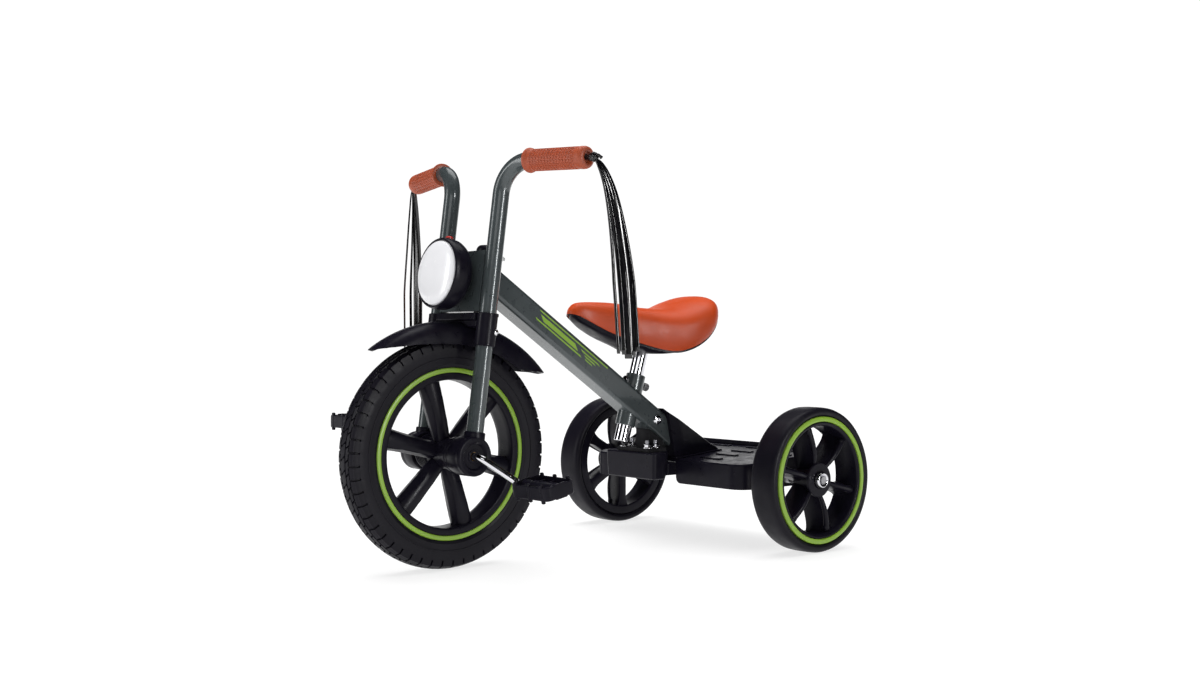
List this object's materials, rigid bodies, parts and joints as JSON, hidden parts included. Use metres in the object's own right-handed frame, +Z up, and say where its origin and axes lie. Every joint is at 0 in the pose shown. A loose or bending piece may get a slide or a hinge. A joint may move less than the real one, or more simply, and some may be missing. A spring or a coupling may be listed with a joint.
{
  "type": "children's tricycle",
  "caption": "Retro children's tricycle with tall chopper handlebars, headlamp, pedals on the front wheel, padded saddle and a rear foot deck.",
  "frame": {"origin": "on the ground under the middle of the tricycle's bounding box", "axes": "+X forward, +Y the rider's left, +Z up"},
  "size_m": [0.7246, 0.504, 0.5429],
  "materials": {
    "frame_paint": "dark slate grey metallic paint, satin gloss",
    "black_plastic": "black moulded plastic, satin",
    "black_ribbon": "glossy black vinyl ribbon",
    "tyre_rubber": "black rubber, fine matt sidewall",
    "pad_rubber": "black rubber",
    "lime_trim": "lime green plastic ring",
    "chrome": "bright chrome plating",
    "steel": "zinc plated steel",
    "saddle_cover": "tan orange leather-look vinyl",
    "grip_rubber": "terracotta soft rubber",
    "lens": "milky white plastic",
    "button": "red plastic",
    "nylon": "natural nylon",
    "bronze": "sintered bronze"
  },
  "bodies": {
    "frame": {"head_tube": "frame_paint", "head_bush_lower": "nylon", "head_bush_upper": "nylon", "main_beam": "frame_paint", "seat_tube": "frame_paint", "seat_clamp_nut": "chrome", "foot_deck": "black_plastic", "deck_cover": "black_plastic", "rear_bracket": "steel", "beam_bolt": "chrome", "nose_block": "black_plastic", "beam_pad": "pad_rubber", "pad_bolt_front_left": "chrome", "pad_bolt_rear_left": "chrome", "pad_bolt_front_right": "chrome", "pad_bolt_rear_right": "chrome", "rear_axle": "steel", "rear_axle_tube": "steel", "rear_axle_nut_left": "chrome", "rear_axle_nut_right": "chrome"},
    "steering": {"handlebar_tube_left": "frame_paint", "handlebar_tube_right": "frame_paint", "grip_left": "grip_rubber", "grip_right": "grip_rubber", "head_plate": "frame_paint", "steering_bolt": "steel", "steering_nut": "chrome", "steering_cap": "black_plastic", "fork_bridge": "black_plastic", "bridge_screw_left": "chrome", "bridge_screw_right": "chrome", "axle_housing_left": "black_plastic", "axle_bush_left": "bronze", "axle_housing_right": "black_plastic", "axle_bush_right": "bronze", "lamp_housing": "black_plastic", "lamp_lens": "lens", "streamer_left": "black_ribbon", "streamer_right": "black_ribbon", "mudguard": "black_plastic"},
    "front_wheel": {"front_tyre": "tyre_rubber", "front_wheel_rim": "black_plastic", "front_ring_left": "lime_trim", "front_ring_right": "lime_trim", "crank_axle": "chrome"},
    "pedal_left": {"pedal_left": "black_plastic"},
    "pedal_right": {"pedal_right": "black_plastic"},
    "rear_wheel_left": {"rear_tyre_left": "tyre_rubber", "rear_wheel_rim_left": "black_plastic", "rear_ring_left": "lime_trim", "rear_hub_bush_left": "nylon"},
    "rear_wheel_right": {"rear_tyre_right": "tyre_rubber", "rear_wheel_rim_right": "black_plastic", "rear_ring_right": "lime_trim", "rear_hub_bush_right": "nylon"},
    "saddle": {"saddle_cover": "saddle_cover", "saddle_base": "black_plastic", "seat_post": "chrome"},
    "clamp_screw": {"seat_clamp_screw": "chrome"},
    "lamp_button": {"lamp_button": "button"}
  },
  "joints": [
    {"name": "steering_turn", "type": "hinge", "parent": "frame", "child": "steering", "pos_m": [0.15044, 0, 0.3637], "axis": [-0.1323, 0, 0.9912], "range_deg": [-40, 40]},
    {"name": "front_wheel_spin", "type": "hinge", "parent": "steering", "child": "front_wheel", "pos_m": [0.21225, 0, 0.15], "axis": [0, 1, 0], "continuous": true},
    {"name": "pedal_left_spin", "type": "hinge", "parent": "front_wheel", "child": "pedal_left", "pos_m": [0.17012, 0.155, 0.11465], "axis": [0, 1, 0], "continuous": true},
    {"name": "pedal_right_spin", "type": "hinge", "parent": "front_wheel", "child": "pedal_right", "pos_m": [0.25438, -0.155, 0.18535], "axis": [0, 1, 0], "continuous": true},
    {"name": "rear_wheel_left_spin", "type": "hinge", "parent": "frame", "child": "rear_wheel_left", "pos_m": [-0.26075, 0.2117, 0.1015], "axis": [0, 1, 0], "continuous": true},
    {"name": "rear_wheel_right_spin", "type": "hinge", "parent": "frame", "child": "rear_wheel_right", "pos_m": [-0.26075, -0.2117, 0.1015], "axis": [0, 1, 0], "continuous": true},
    {"name": "saddle_height", "type": "slide", "parent": "frame", "child": "saddle", "axis": [-0.2882, 0, 0.9576], "range_m": [-0.018, 0.04]},
    {"name": "clamp_screw_turn", "type": "hinge", "parent": "frame", "child": "clamp_screw", "pos_m": [-0.13431, 0, 0.22879], "axis": [-0.9576, 0, -0.2882], "range_deg": [0, 360]},
    {"name": "lamp_button_press", "type": "slide", "parent": "steering", "child": "lamp_button", "axis": [0.1323, 0, -0.9912], "range_m": [0, 0.002], "stiffness_N_per_m": 400}
  ]
}
